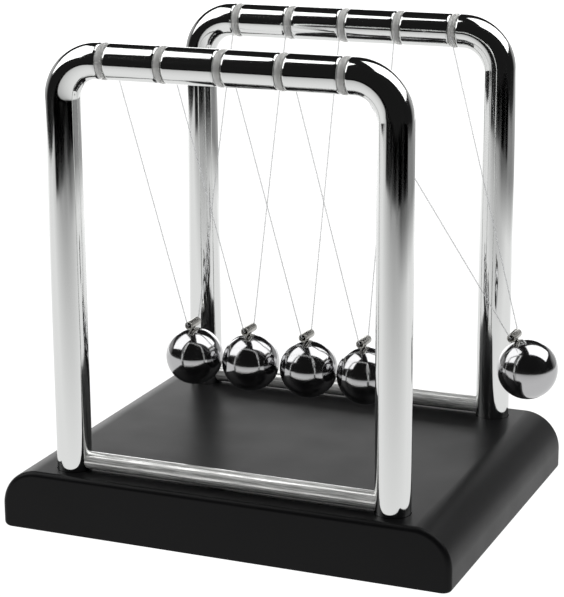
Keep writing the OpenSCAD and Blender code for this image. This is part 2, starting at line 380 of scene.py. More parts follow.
class Metal(Enum):
    """Metals of the object, by how their surface was made."""

    CHROME_PLATE = "chrome plate"
    CHROME_ROD = "satin chrome plate"
    GROUND_STEEL = "ground and polished steel"
    NICKEL_PLATE = "nickel plate"
    ZINC_PLATE = "zinc-plated steel"
    TURNED_BRASS = "turned brass"
    MILL_STEEL = "mill-finished steel"


@dataclass(frozen=True)
class MetalFinish:
    """How a metal surface looks: its reflected colour, polish, waviness and fine marks.

    Wave is slow unevenness and mark is fine scratches, each with a width in millimetres and a strength. On
    a drawn piece they are drawn times longer along it than across it. Satin is the greatest share of light
    that the scratches scatter.
    """

    colour: str
    roughness: float
    haze: float
    wave_mm: float
    wave: float
    mark_mm: float
    mark: float
    drawn: float = 1.0
    satin: float = 0.0


# Octaves of the noise, and the height over the width, of a metal's slow waves and of its fine marks.
WAVE_DETAIL, WAVE_RISE = 1.0, 0.02
MARK_DETAIL, MARK_RISE = 4.0, 0.05

METALS = {
    # Bright chrome over drawn tube: nearly a mirror, with faint long waves and lines along the tube.
    Metal.CHROME_PLATE: MetalFinish("#dfe0df", 0.035, 0.09, 1.3, 0.4, 0.4, 0.15, 30.0),
    # Chrome over rod as drawn, not buffed: bright between drawing lines that scatter much of the light.
    Metal.CHROME_ROD: MetalFinish("#fdfdfb", 0.05, 0.08, 1.4, 3.0, 0.5, 1.0, 20.0, 0.92),
    # Ground steel ball, lapped to a mirror: darker than chrome, with hair-fine lapping marks.
    Metal.GROUND_STEEL: MetalFinish("#b6b6b7", 0.09, 0.07, 5.0, 0.03, 0.35, 0.03),
    # Bright nickel on a small turned part: warm grey, softer reflections.
    Metal.NICKEL_PLATE: MetalFinish("#b0afaa", 0.22, 0.12, 1.2, 0.3, 0.25, 0.15),
    # Zinc plate: pale blue-grey and dull.
    Metal.ZINC_PLATE: MetalFinish("#b4bac0", 0.32, 0.12, 2.0, 0.10, 0.2, 0.10),
    # Turned brass with fine tool marks.
    Metal.TURNED_BRASS: MetalFinish("#d9b36a", 0.26, 0.10, 2.0, 0.08, 0.25, 0.12),
    # Hot-rolled plate: dark grey and rough.
    Metal.MILL_STEEL: MetalFinish("#85868a", 0.5, 0.15, 6.0, 0.2, 0.5, 0.2),
}


@dataclass(frozen=True)
class PlasticFinish:
    """How a moulded or foamed surface looks: its colour, gloss and grain."""

    name: str
    colour: str
    fleck: str
    roughness: float
    gloss: float
    grain_mm: float
    grain: float


# Width of the slow change of gloss over a moulding, from uneven cooling.
CLOUD_MM = 18.0
# Injection moulded against a finely blasted tool: an even satin with almost no grain.
ABS_BASE = PlasticFinish("satin black ABS", "#0d0d0e", "#131314", 0.36, 0.13, 0.22, 0.05)
# Moulded against a spark-eroded tool: matt, with a coarser grain.
ABS_COVER = PlasticFinish("matt black ABS", "#1c1c1d", "#242425", 0.6, 0.4, 0.35, 0.25)
# Die-cut from foamed sheet: dull, with a skin of small cells.
EVA_PAD = PlasticFinish("black EVA foam", "#19191a", "#2c2c2e", 0.85, 0.25, 0.5, 0.6)


@dataclass(frozen=True)
class ClearFinish:
    """How a clear plastic looks.

    Its body refracts a share of light, through, and is milky for the rest. A thin piece is also sheer: it
    lets a share of light straight past.
    """

    name: str
    tint: str
    roughness: float
    through: float
    sheer: float
    ior: float


# Soft PVC cut from tube: clear with a milky tinge and a soft gloss.
PVC_RING = ClearFinish("clear PVC", "#fffffd", 0.12, 0.5, 0.0, 1.45)
# Drawn monofilament: clear, greyish where it is seen against the light.
NYLON_LINE = ClearFinish("clear nylon", "#f2f3f4", 0.25, 0.1, 0.5, 1.53)


def new_material(name: str) -> tuple[bpy.types.Material, bpy.types.NodeTree, bpy.types.Node]:
    """Empty node material with its output.

    Args:
        name: The material's name.

    Returns:
        The material, its node tree and its output node.
    """
    material = bpy.data.materials.new(name)
    material.use_nodes = True
    tree = material.node_tree
    tree.nodes.clear()
    return material, tree, add_node(tree, "ShaderNodeOutputMaterial", {}, {})


def metal_material(metal: Metal) -> bpy.types.Material:
    """Metal with slow waviness, fine marks and a faint change of polish.

    The pattern follows Object coordinates, or the straightened length of a drawn tube.

    Args:
        metal: Which of the object's metals it is.

    Returns:
        The material.
    """
    look = METALS[metal]
    material, tree, output = new_material(metal.value)
    if look.drawn > 1.0:
        bent = add_node(tree, "ShaderNodeAttribute", {"attribute_name": STRAIGHT}, {})
        stretch = {"Scale": (1.0 / look.drawn, 1.0, 1.0)}
        place = add_node(tree, "ShaderNodeMapping", stretch, {"Vector": bent.outputs["Vector"]}).outputs[0]
    else:
        place = add_node(tree, "ShaderNodeTexCoord", {}, {}).outputs["Object"]
    height, normal = {}, {}
    for size, strength, detail, rise in (
        (look.wave_mm, look.wave, WAVE_DETAIL, WAVE_RISE),
        (look.mark_mm, look.mark, MARK_DETAIL, MARK_RISE),
    ):
        fineness = {"Scale": 1.0 / (size * MM), "Detail": detail}
        height[size] = add_node(tree, "ShaderNodeTexNoise", fineness, {"Vector": place}).outputs["Fac"]
        bump = {"Strength": strength, "Distance": rise * size * MM}
        relief = add_node(tree, "ShaderNodeBump", bump, {"Height": height[size], **normal})
        normal["Normal"] = relief.outputs["Normal"]
    polish = Ramp(0.35, 0.75, look.roughness, look.roughness + look.haze)
    polished = add_node(tree, "ShaderNodeMapRange", polish.settings(), {"Value": height[look.wave_mm]})
    links = {"Roughness": polished.outputs["Result"], **normal}
    if look.satin > 0.0:
        scatter = Ramp(0.4, 0.6, 1.0 - look.satin, 1.0 - 0.5 * look.satin)
        streak = add_node(tree, "ShaderNodeMapRange", scatter.settings(), {"Value": height[look.mark_mm]})
        links["Metallic"] = streak.outputs["Result"]
    shine = {"Base Color": linear(look.colour), "Metallic": 1.0}
    surface = add_node(tree, "ShaderNodeBsdfPrincipled", shine, links)
    tree.links.new(surface.outputs["BSDF"], output.inputs["Surface"])
    return material


def plastic_material(look: PlasticFinish) -> bpy.types.Material:
    """Moulded plastic or foam: a grain in the height and a slight mottle in the colour and gloss.

    Args:
        look: The finish.

    Returns:
        The material.
    """
    material, tree, output = new_material(look.name)
    place = add_node(tree, "ShaderNodeTexCoord", {}, {}).outputs["Object"]
    grain, cloud = (
        add_node(tree, "ShaderNodeTexNoise", {"Scale": 1.0 / (size * MM), "Detail": 3.0}, {"Vector": place})
        for size in (look.grain_mm, CLOUD_MM)
    )
    colours = {"data_type": "RGBA", 6: linear(look.colour), 7: linear(look.fleck)}
    shade = add_node(tree, "ShaderNodeMix", colours, {0: grain.outputs["Fac"]})
    mottle = Ramp(0.3, 0.7, look.roughness - 0.02, look.roughness + 0.03)
    gloss = add_node(tree, "ShaderNodeMapRange", mottle.settings(), {"Value": cloud.outputs["Fac"]})
    relief = {"Strength": look.grain, "Distance": 0.1 * look.grain_mm * MM}
    bump = add_node(tree, "ShaderNodeBump", relief, {"Height": grain.outputs["Fac"]})
    shine = {"IOR": 1.5, "Specular IOR Level": look.gloss}
    links = {"Roughness": gloss.outputs["Result"], "Normal": bump.outputs["Normal"]}
    links["Base Color"] = shade.outputs[2]
    surface = add_node(tree, "ShaderNodeBsdfPrincipled", shine, links)
    tree.links.new(surface.outputs["BSDF"], output.inputs["Surface"])
    return material


def clear_material(look: ClearFinish) -> bpy.types.Material:
    """Clear flexible plastic: mostly let through, partly a milky body, with a soft gloss.

    Args:
        look: The finish.

    Returns:
        The material.
    """
    material, tree, output = new_material(look.name)
    place = add_node(tree, "ShaderNodeTexCoord", {}, {}).outputs["Object"]
    cloudy = {"Scale": 1.0 / (1.5 * MM), "Detail": 2.0}
    cloud = add_node(tree, "ShaderNodeTexNoise", cloudy, {"Vector": place})
    spread = Ramp(0.0, 1.0, look.roughness - 0.05, look.roughness + 0.05)
    gloss = add_node(tree, "ShaderNodeMapRange", spread.settings(), {"Value": cloud.outputs["Fac"]})
    body = {"Base Color": linear(look.tint), "IOR": look.ior}
    body |= {"Transmission Weight": look.through, "Alpha": 1.0 - look.sheer}
    surface = add_node(tree, "ShaderNodeBsdfPrincipled", body, {"Roughness": gloss.outputs["Result"]})
    tree.links.new(surface.outputs["BSDF"], output.inputs["Surface"])
    return material


class Palette:
    """All materials of the object, each made once."""

    def __init__(self) -> None:
        """Makes the materials."""
        self.metals = {metal: metal_material(metal) for metal in Metal}
        self.base = plastic_material(ABS_BASE)
        self.cover = plastic_material(ABS_COVER)
        self.pad = plastic_material(EVA_PAD)
        self.ring = clear_material(PVC_RING)
        self.line = clear_material(NYLON_LINE)


def dress(piece: bpy.types.Object, material: bpy.types.Material) -> None:
    """Gives a piece one material in place of what it has.

    Args:
        piece: The object.
        material: Its material.
    """
    piece.data.materials.clear()
    piece.data.materials.append(material)


def place_piece(
    piece: bpy.types.Object, material: bpy.types.Material, body: str, slot: str, *nodes: str
) -> None:
    """Dresses a finished piece, lets it ride on its body and stand for its CAD nodes, and reports it.

    Args:
        piece: The finished object.
        material: Its material.
        body: The CAD body it moves with.
        slot: The record's material slot; not used.
        *nodes: CAD nodes that it stands for.
    """
    dress(piece, material)
    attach(piece, body)
    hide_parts(*nodes)
    LOG.info("%s: %d faces, rides on %s", piece.name, len(piece.data.polygons), body)


# ---------------------------------------- sub-assemblies


@dataclass
class Base:
    """Black moulded base: a shell rounded over at both ends, with its cover, ballast, screws and pad."""

    palette: Palette
    end_r: float = 14.0 * MM
    edge_r: float = 2.0 * MM
    under_r: float = 1.5 * MM
    wall: float = 3.0 * MM
    ledge: float = 2.0 * MM
    socket_gap: float = 0.15 * MM
    boss_wall: float = 2.4 * MM
    post_r: float = 4.0 * MM
    cover_r: float = 4.0 * MM
    bore_r: float = 2.3 * MM
    pad_hole_r: float = 4.0 * MM
    screw_head_r: float = 3.0 * MM
    around: int = 96

    def __post_init__(self) -> None:
        """Reads the overall sizes from the frame."""
        self.low, self.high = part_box("base_shell")
        self.cover_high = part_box("base_cover")[1]
        leg_low, leg_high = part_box("rear_frame")
        self.tube_r = (leg_high.y - leg_low.y) / 2
        self.leg_x = leg_high.x - self.tube_r
        self.leg_y = (leg_high.y + leg_low.y) / 2
        self.leg_z = leg_low.z

    def outline(self, inset: float) -> np.ndarray:
        """Upright outline of the base, drawn in on its top and ends, as arcs joined by straight lines.

        Args:
            inset: How far the outline is drawn in.

        Returns:
            Rows of x and z, round the outline from its lower left corner.
        """
        half, top, foot = self.high.x, self.high.z, self.low.z
        side = half - inset - self.under_r
        turn = half - self.end_r
        foot_steps, end_steps, flat_steps = 9, 33, 26
        above = np.linspace(-turn, turn, flat_steps)[1:-1]
        below = np.linspace(side, -side, flat_steps)[1:-1]
        parts = [
            arc((-side, foot + self.under_r), self.under_r, 270, 180, foot_steps),
            arc((-turn, top - self.end_r), self.end_r - inset, 180, 90, end_steps),
            np.stack([above, np.full_like(above, top - inset)], axis=1),
            arc((turn, top - self.end_r), self.end_r - inset, 90, 0, end_steps),
            arc((side, foot + self.under_r), self.under_r, 0, -90, foot_steps),
            np.stack([below, np.full_like(below, foot)], axis=1),
        ]
        return np.vstack(parts)

    def body(self) -> Shell:
        """Outer body: the outline carried from front to back, drawn in by quarter circles at both faces.

        Returns:
            The body as one closed shell.
        """
        edge_steps, flat_steps = 13, 14
        turn = np.radians(np.linspace(0.0, 90.0, edge_steps))
        inset = self.edge_r * (1.0 - np.sin(turn))
        depth = self.edge_r * (1.0 - np.cos(turn))
        middle = np.linspace(self.low.y + self.edge_r, self.high.y - self.edge_r, flat_steps)[1:-1]
        y = np.concatenate([self.low.y + depth, middle, self.high.y - depth[::-1]])
        drawn = np.concatenate([inset, np.zeros_like(middle), inset[::-1]])
        loops = [np.insert(self.outline(d), 1, v, axis=1) for v, d in zip(y, drawn)]
        return loft(np.array(loops))

    def plate(self, x: float, y: float, radius: float, low: float, high: float) -> Shell:
        """Upright block with round corners: four arcs joined in plan, carried from low to high.

        Args:
            x: Half its length.
            y: Half its depth.
            radius: Radius of its corners.
            low: Height of its underside.
            high: Height of its top.

        Returns:
            The closed shell.
        """
        corners = ((1, 1, 0), (-1, 1, 90), (-1, -1, 180), (1, -1, 270))
        steps = 13
        plan = np.vstack(
            [arc((i * (x - radius), j * (y - radius)), radius, a, a + 90, steps) for i, j, a in corners]
        )
        return loft(np.array([np.insert(plan, 2, z, axis=1) for z in (low, high)]))

    def rod(self, x: float, y: float, radius: float, low: float, high: float) -> Shell:
        """Upright round rod between two heights."""
        profile = np.array([[0.0, low], [radius, low], [radius, high], [0.0, high]])
        return revolve(profile, self.around, closed=False).moved(Matrix.Translation((x, y, 0.0)))

    def legs(self) -> list[tuple[float, float]]:
        """Plan places of the four legs."""
        return [(i * self.leg_x, j * self.leg_y) for i in (-1, 1) for j in (-1, 1)]

    def posts(self) -> list[tuple[float, float]]:
        """Plan places of the four posts, which are those of the cover screws.

        Returns:
            The X and Y of each post.
        """
        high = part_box("cover_screws")[1]
        x, y = high.x - self.screw_head_r, high.y - self.screw_head_r
        return [(i * x, j * y) for i in (-1, 1) for j in (-1, 1)]

    def hollow(self) -> bpy.types.Object:
        """Hollow under the top, less the bosses round the sockets and the posts for the cover screws.

        Returns:
            The object to carve out of the body.
        """
        x = self.high.x - self.wall - self.ledge
        y = self.high.y - self.wall - self.ledge
        top = self.high.z - self.wall
        radius = self.end_r - self.wall - self.ledge
        foot = self.cover_high.z - MM
        steps = 17
        left = arc((radius - x, top - radius), radius, 180, 90, steps)
        right = arc((x - radius, top - radius), radius, 90, 0, steps)
        rim = np.vstack([[[-x, foot]], left, right, [[x, foot]]])
        space = make_object("hollow", loft(np.array([np.insert(rim, 1, v, axis=1) for v in (-y, y)])))
        boss_r = self.tube_r + self.socket_gap + self.boss_wall
        boss_low = self.leg_z - self.wall
        kept = [make_object("boss", self.rod(*p, boss_r, boss_low, self.high.z)) for p in self.legs()]
        kept += [make_object("post", self.rod(*p, self.post_r, 0.0, self.high.z)) for p in self.posts()]
        carve(space, kept)
        return space

    def make_shell(self) -> None:
        """Shell: the body less its hollow, the cover's recess, the leg sockets and their screw holes."""
        shell = make_object("moulded_base", self.body())
        socket_r = self.tube_r + self.socket_gap
        x, y = self.high.x - self.wall, self.high.y - self.wall
        recess = self.plate(x, y, self.cover_r, -MM, self.cover_high.z)
        cutters = [self.hollow(), make_object("recess", recess)]
        for p in self.legs():
            cutters.append(make_object("socket", self.rod(*p, socket_r, self.leg_z, self.high.z + MM)))
            cutters.append(make_object("bore", self.rod(*p, self.bore_r, 0.0, self.leg_z + MM)))
        carve(shell, cutters)
        flatten_shading(shell)
        place_piece(shell, self.palette.base, STAND, "base_plastic", "base_shell")

    def make_pad(self) -> None:
        """Foam pad with punched holes over the cover screws and a soft edge."""
        low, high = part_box("base_pad")
        pad = make_object("foam_pad", self.plate(high.x, high.y, self.cover_r, low.z, high.z))
        holes = [self.rod(*p, self.pad_hole_r, -MM, high.z + MM) for p in self.posts()]
        carve(pad, [make_object("hole", hole) for hole in holes])
        bevel = pad.modifiers.new("edge", "BEVEL")
        bevel.width = 0.3 * MM
        bevel.segments = 3
        place_piece(pad, self.palette.pad, STAND, "pad_rubber", "base_pad")

    def dress_hidden(self, nodes: dict[str, bpy.types.Object]) -> None:
        """Gives the cover, the fasteners and the ballast, which keep their CAD shape, their finishes.

        Args:
            nodes: The CAD objects by node name.
        """
        metals = {
            "cover_screws": Metal.ZINC_PLATE,
            "leg_screws": Metal.ZINC_PLATE,
            "leg_washers": Metal.ZINC_PLATE,
            "front_leg_inserts": Metal.TURNED_BRASS,
            "rear_leg_inserts": Metal.TURNED_BRASS,
            "ballast_plate": Metal.MILL_STEEL,
        }
        for name, metal in metals.items():
            dress(nodes[name], self.palette.metals[metal])
            LOG.info("%s: CAD node in %s", name, metal.value)
        dress(nodes["base_cover"], self.palette.cover)
        LOG.info("base_cover: CAD node in %s", self.palette.cover.name)

    def build(self, nodes: dict[str, bpy.types.Object]) -> None:
        """Makes and dresses the whole base.

        Args:
            nodes: The CAD nodes' objects by name.
        """
        self.make_shell()
        self.make_pad()
        self.dress_hidden(nodes)


@dataclass
class BentFrame:
    """One chrome frame: a tube bent into legs and a grooved rail, its cross bar, rings and line ends."""

    palette: Palette
    side: str
    bend_r: float = 14.0 * MM
    wall: float = 1.8 * MM
    groove_depth: float = 1.1 * MM
    groove_half: float = 1.3 * MM
    shoulder_r: float = 1.0 * MM
    line_r: float = 0.225 * MM
    ring_inner: float = 5.76 * MM
    ring_outer: float = 6.26 * MM
    ring_crown: float = 0.2 * MM
    ring_edge: float = 0.3 * MM
    turns: float = 1.125
    turn_pitch: float = 0.5 * MM
    around: int = 96

    def __post_init__(self) -> None:
        """Reads the frame's overall sizes and its groove places from the CAD nodes."""
        low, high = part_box(f"{self.side}_frame")
        self.sign = SIDES[self.side]
        self.tube_r = (high.y - low.y) / 2
        self.y = (high.y + low.y) / 2
        self.leg_x = high.x - self.tube_r
        self.rail_z = high.z - self.tube_r
        self.foot_z = low.z
        boxes = [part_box(f"{self.side}_ring_{k}") for k in BALLS]
        self.grooves = np.array([(a.x + b.x) / 2 for a, b in boxes])
        self.ring_half = (boxes[0][1].x - boxes[0][0].x) / 2

    def rail_stations(self) -> np.ndarray:
        """Places along the rail: close together over each groove, far apart between them.

        Returns:
            The X of each place, in rising order.
        """
        reach = self.groove_half + self.shoulder_r
        groove_steps, rail_steps = 57, 60
        near = np.linspace(-reach, reach, groove_steps)
        ends = self.leg_x - self.bend_r
        parts = [np.linspace(-ends, ends, rail_steps)] + [g + near for g in self.grooves]
        return np.unique(np.round(np.concatenate(parts), 7))

    def rail_radius(self, x: np.ndarray) -> np.ndarray:
        """Outer radius along the rail.

        Within a groove's floor it is the tube's less the depth, and beyond that the shoulder's quarter
        circle rises to the tube's own radius.

        Args:
            x: Places along the rail.

        Returns:
            The radius at each place.
        """
        away = np.abs(x[:, None] - self.grooves[None, :]).min(axis=1)
        reach = np.clip(self.groove_half + self.shoulder_r - away, 0.0, self.shoulder_r)
        rise = np.sqrt(np.maximum(self.shoulder_r**2 - reach**2, 0.0))
        shoulder = self.tube_r - self.shoulder_r + rise
        return np.where(away < self.groove_half, self.tube_r - self.groove_depth, shoulder)

    def centreline(self) -> tuple[np.ndarray, np.ndarray]:
        """Path of the tube from foot to foot and its outer radius there.

        Returns:
            The path's points, and the radius at each.
        """
        turn_z = self.rail_z - self.bend_r
        turn_x = self.leg_x - self.bend_r
        leg_steps, bend_steps = 24, 41
        legs = np.linspace(self.foot_z, turn_z, leg_steps)[:-1]
        left = np.stack([np.full_like(legs, -self.leg_x), legs], axis=1)
        bend = arc((-turn_x, turn_z), self.bend_r, 180, 90, bend_steps)
        rail_x = self.rail_stations()[1:-1]
        rail = np.stack([rail_x, np.full_like(rail_x, self.rail_z)], axis=1)
        mirror = np.array([-1.0, 1.0])
        flat = np.vstack([left, bend, rail, bend[::-1] * mirror, left[::-1] * mirror])
        plain = np.full(len(left) + len(bend), self.tube_r)
        radius = np.concatenate([plain, self.rail_radius(rail_x), plain])
        return np.insert(flat, 1, self.y, axis=1), radius

    def make_tube(self) -> None:
        """Tube: its outer surface, its bore and the flat rings at both feet, as one closed skin."""
        path, radius = self.centreline()
        across = np.array([0.0, 1.0, 0.0])
        bore_every = 4
        outer = sweep(path, radius, across, self.around)
        bore = np.full(len(path), self.tube_r - self.wall)
        inner = sweep(path, bore, across, self.around)[::bore_every]
        shell = loft(np.concatenate([outer, inner[::-1]]), capped=False, closed=True)
        steps = np.linalg.norm(np.diff(path, axis=0, prepend=path[:1]), axis=1)
        turn = whole_circle(self.around)
        length, angle = np.meshgrid(np.cumsum(steps), turn, indexing="ij")
        flat = np.stack([length, self.tube_r * np.cos(angle), self.tube_r * np.sin(angle)], axis=2)
        shell.straight = np.concatenate([flat, flat[::bore_every][::-1]]).reshape(-1, 3)
        tube = make_object(f"{self.side}_bent_tube", shell, sharp=50.0)
        chrome = self.palette.metals[Metal.CHROME_PLATE]
        place_piece(tube, chrome, STAND, "chrome_tube", f"{self.side}_frame")

    def make_cross_bar(self) -> None:
        """Rod whose ends are coped to the legs.

        At an end, x is the leg's axis less the root of the tube radius squared less y squared.
        """
        low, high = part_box(f"{self.side}_cross_bar")
        radius, z = (high.z - low.z) / 2, (high.z + low.z) / 2
        share = np.array([0.02, 0.35, 0.7, 1.0])
        around, along_steps, sink = 64, 26, 0.05 * MM
        angle = whole_circle(around)
        out = share[:, None] * radius
        y, up = out * np.cos(angle), out * np.sin(angle)
        end = self.leg_x - np.sqrt(self.tube_r**2 - y**2) + sink
        right = np.stack([end, self.y + y, z + up], axis=2)
        left = right * np.array([-1.0, 1.0, 1.0])
        along = np.linspace(-1.0, 1.0, along_steps)[1:-1, None, None] * X_AXIS
        middle = right[-1] * np.array([0.0, 1.0, 1.0]) + along * end[-1].min()
        loops = np.concatenate([left, middle, right[::-1]])
        shell = loft(loops)
        shell.straight = shell.points
        bar = make_object(f"{self.side}_rod", shell, sharp=50.0)
        chrome = self.palette.metals[Metal.CHROME_ROD]
        place_piece(bar, chrome, STAND, "chrome_bar", f"{self.side}_cross_bar")

    def along_rail(self, x: float) -> Matrix:
        """Matrix that turns Z to the rail's axis and moves the origin to a groove."""
        return Matrix.Translation((x, self.y, self.rail_z)) @ Matrix.Rotation(math.pi / 2, 4, "Y")

    def make_rings(self) -> None:
        """Five clear bands: a slightly crowned outside, round edges and a flat inside."""
        half, edge, crown = self.ring_half, self.ring_edge, self.ring_crown
        crown_steps, edge_steps, around = 11, 6, 128
        along = np.linspace(edge - half, half - edge, crown_steps)
        bulge = crown * (1.0 - (along / along[-1]) ** 2)
        outside = np.stack([self.ring_outer + bulge, along], axis=1)
        out = self.ring_outer - edge
        upper = arc((out, half - edge), edge, 20, 90, edge_steps)
        lower = arc((out, edge - half), edge, 270, 340, edge_steps)
        inside = [[self.ring_inner, half], [self.ring_inner, -half]]
        profile = np.vstack([outside, upper, inside, lower])
        for k, x in zip(BALLS, self.grooves):
            shell = revolve(profile, around, closed=True).moved(self.along_rail(x))
            ring = make_object(f"{self.side}_clear_ring_{k}", shell, sharp=60.0)
            place_piece(ring, self.palette.ring, STAND, "clear_ring", f"{self.side}_ring_{k}")

    def make_line_ends(self, pivots: list[Vector]) -> None:
        """Turns of line under the rings: a helix on the groove's floor that rises through the ring.

        The distance from the rail's axis eases from the wrapped radius to the swing point's over the
        last part of the turn.

        Args:
            pivots: The swing points of the five lines on this frame.
        """
        shell = None
        steps, around, rise_angle, clearance = 150, 12, 0.5, 0.02 * MM
        for x, pivot in zip(self.grooves, pivots):
            out = math.hypot(pivot.y - self.y, pivot.z - self.rail_z)
            exit_angle = math.atan2(pivot.z - self.rail_z, pivot.y - self.y)
            turn = np.linspace(-2.0 * self.turns * math.pi, 0.0, steps)
            wrapped = self.tube_r - self.groove_depth + self.line_r + clearance
            distance = wrapped + (out - wrapped) * smooth_step(1.0 + turn / rise_angle)
            angle = exit_angle + turn * -self.sign
            shift = self.turn_pitch * turn / (2.0 * math.pi)
            y, z = self.y + distance * np.cos(angle), self.rail_z + distance * np.sin(angle)
            path = np.stack([x + shift, y, z], axis=1)
            loops = sweep(path, np.full(len(path), self.line_r), X_AXIS, around)
            turned = loft(loops)
            shell = turned if shell is None else shell.joined(turned)
        ends = make_object(f"{self.side}_line_turns", shell)
        place_piece(ends, self.palette.line, STAND, "clear_line", f"{self.side}_line_wraps")

    def build(self, pivots: list[Vector]) -> None:
        """Makes and dresses the whole frame.

        Args:
            pivots: The swing points on this frame's rail, in the order of the balls.
        """
        self.make_tube()
        self.make_cross_bar()
        self.make_rings()
        self.make_line_ends(pivots)


@dataclass
class Pendulum:
    """One ball with the sleeve on its top and the line that runs through the sleeve."""

    palette: Palette
    number: int
    pivot: Vector
    ball_r: float = 10.8 * MM
    hole_r: float = 0.91 * MM
    hole_depth: float = 4.0 * MM
    neck: float = 0.3 * MM
    sleeve_r: float = 1.6 * MM
    sleeve_half: float = 4.0 * MM
    bore_r: float = 0.55 * MM
    stud_r: float = 0.9 * MM
    line_r: float = 0.225 * MM
    bend_r: float = 0.8 * MM
    lip: float = 0.2 * MM
    mouth: float = 1.1 * MM
    sink: float = 0.9 * MM
    fillet: float = 0.22 * MM

    def __post_init__(self) -> None:
        """Reads the ball's place from the frame: its lean and its distance from the swing axis."""
        low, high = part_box(f"ball_{self.number}")
        centre = (low + high) / 2
        across, down = centre.x - self.pivot.x, self.pivot.z - centre.z
        self.drop = math.hypot(across, down)
        self.body = f"pendulum_{self.number}"
        lean = Matrix.Rotation(-math.atan2(across, down), 4, "Y")
        self.hang = Matrix.Translation(self.pivot) @ lean
        self.sleeve_z = -self.drop + self.ball_r + self.neck + self.sleeve_r
        line_low, line_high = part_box(f"line_{self.number}")
        self.anchor_y = (line_high.y - line_low.y) / 2

    def make_ball(self) -> None:
        """Ball: a sphere's half circle turned about the hanging axis, with the stud's hole in its top."""
        chamfer, chamfer_depth = 0.15 * MM, 0.2 * MM
        steps, around = 97, 160
        mouth = math.degrees(math.asin((self.hole_r + chamfer) / self.ball_r))
        skin = arc((0.0, 0.0), self.ball_r, -90.0, 90.0 - mouth, steps)
        floor = self.ball_r - self.hole_depth
        hole = np.array([[self.hole_r, self.ball_r - chamfer_depth], [self.hole_r, floor], [0.0, floor]])
        profile = np.vstack([skin, hole])
        profile[0, 0] = 0.0
        place = self.hang @ Matrix.Translation((0.0, 0.0, -self.drop))
        shell = revolve(profile, around, closed=False).moved(place)
        ball = make_object(f"steel_ball_{self.number}", shell)
        steel = self.palette.metals[Metal.GROUND_STEEL]
        place_piece(ball, steel, self.body, "polished_steel", f"ball_{self.number}")

    def sleeve_tube(self) -> Shell:
        """Sleeve: a ring profile with round lips and countersunk mouths, turned about the line's way.

        Returns:
            The sleeve as one closed shell, before the pendulum's lean.
        """
        half, lip = self.sleeve_half, self.lip
        lip_steps, mouth_steps, around = 7, 5, 64
        outside = arc((self.sleeve_r - lip, half - lip), lip, 0, 90, lip_steps)
        inside = arc((self.mouth + lip, half - lip), lip, 90, 150, mouth_steps)
        end = np.vstack([outside, inside, [[self.bore_r, half - self.sink]]])
        profile = np.vstack([end, end[::-1] * np.array([1.0, -1.0])])
        turn = Matrix.Translation((0.0, 0.0, self.sleeve_z)) @ Matrix.Rotation(math.pi / 2, 4, "X")
        return revolve(profile, around, closed=True).moved(turn)

    def stud(self) -> Shell:
        """Stud from inside the ball into the sleeve's wall, with a soldered fillet at the ball.

        Returns:
            The stud as one closed shell, before the pendulum's lean.
        """
        above, below, steps, around = 0.2 * MM, 0.3 * MM, 8, 48
        top = self.sleeve_z - self.bore_r - above
        skin = -self.drop + self.ball_r
        foot = skin - self.hole_depth + below
        flare = arc((self.stud_r + self.fillet, skin + above), self.fillet, 250, 180, steps)
        shank = [[0.0, foot], [self.stud_r, foot], [self.stud_r, skin - below]]
        profile = np.vstack([shank, flare, [[self.stud_r, top], [0.0, top]]])
        return revolve(profile, around, closed=False)

    def make_sleeve(self) -> None:
        """Sleeve and stud as one nickel-plated piece."""
        shell = self.sleeve_tube().joined(self.stud()).moved(self.hang)
        sleeve = make_object(f"nickel_sleeve_{self.number}", shell)
        nickel = self.palette.metals[Metal.NICKEL_PLATE]
        place_piece(sleeve, nickel, self.body, "nickel_sleeve", f"sleeve_{self.number}")

    def make_line(self) -> None:
        """Line: straight through the sleeve, bent at its mouths, then straight to both swing points."""
        bend_steps, run_steps, sleeve_steps, around = 15, 40, 9, 12
        run_y = self.anchor_y - self.sleeve_half
        run_z = -self.sleeve_z - self.bend_r
        reach = math.hypot(run_y, run_z)
        tilt = math.degrees(math.atan2(run_y, run_z) - math.asin(self.bend_r / reach))
        centre = (self.sleeve_half, self.sleeve_z + self.bend_r)
        bend = arc(centre, self.bend_r, 270, 360 - tilt, bend_steps)
        run = np.linspace(bend[-1], [self.anchor_y, 0.0], run_steps)[1:]
        across = np.linspace(0.0, self.sleeve_half, sleeve_steps)[:-1]
        inside = np.stack([across, np.full_like(across, self.sleeve_z)], axis=1)
        half = np.vstack([inside, bend, run])
        flat = np.vstack([half[::-1] * np.array([-1.0, 1.0]), half[1:]])
        path = np.insert(flat, 0, 0.0, axis=1)
        loops = sweep(path, np.full(len(path), self.line_r), X_AXIS, around)
        line = make_object(f"nylon_line_{self.number}", loft(loops).moved(self.hang))
        place_piece(line, self.palette.line, self.body, "clear_line", f"line_{self.number}")

    def build(self) -> None:
        """Makes and dresses the ball, its sleeve and its line."""
        self.make_ball()
        self.make_sleeve()
        self.make_line()


# ---------------------------------------- studio


@dataclass(frozen=True)
class Softbox:
    """A studio light: its direction from the object, its turn and distance, its size and its power."""

    name: str
    direction: tuple[float, float, float]
    roll: float
    distance: float
    width: float
    height: float
    power: float


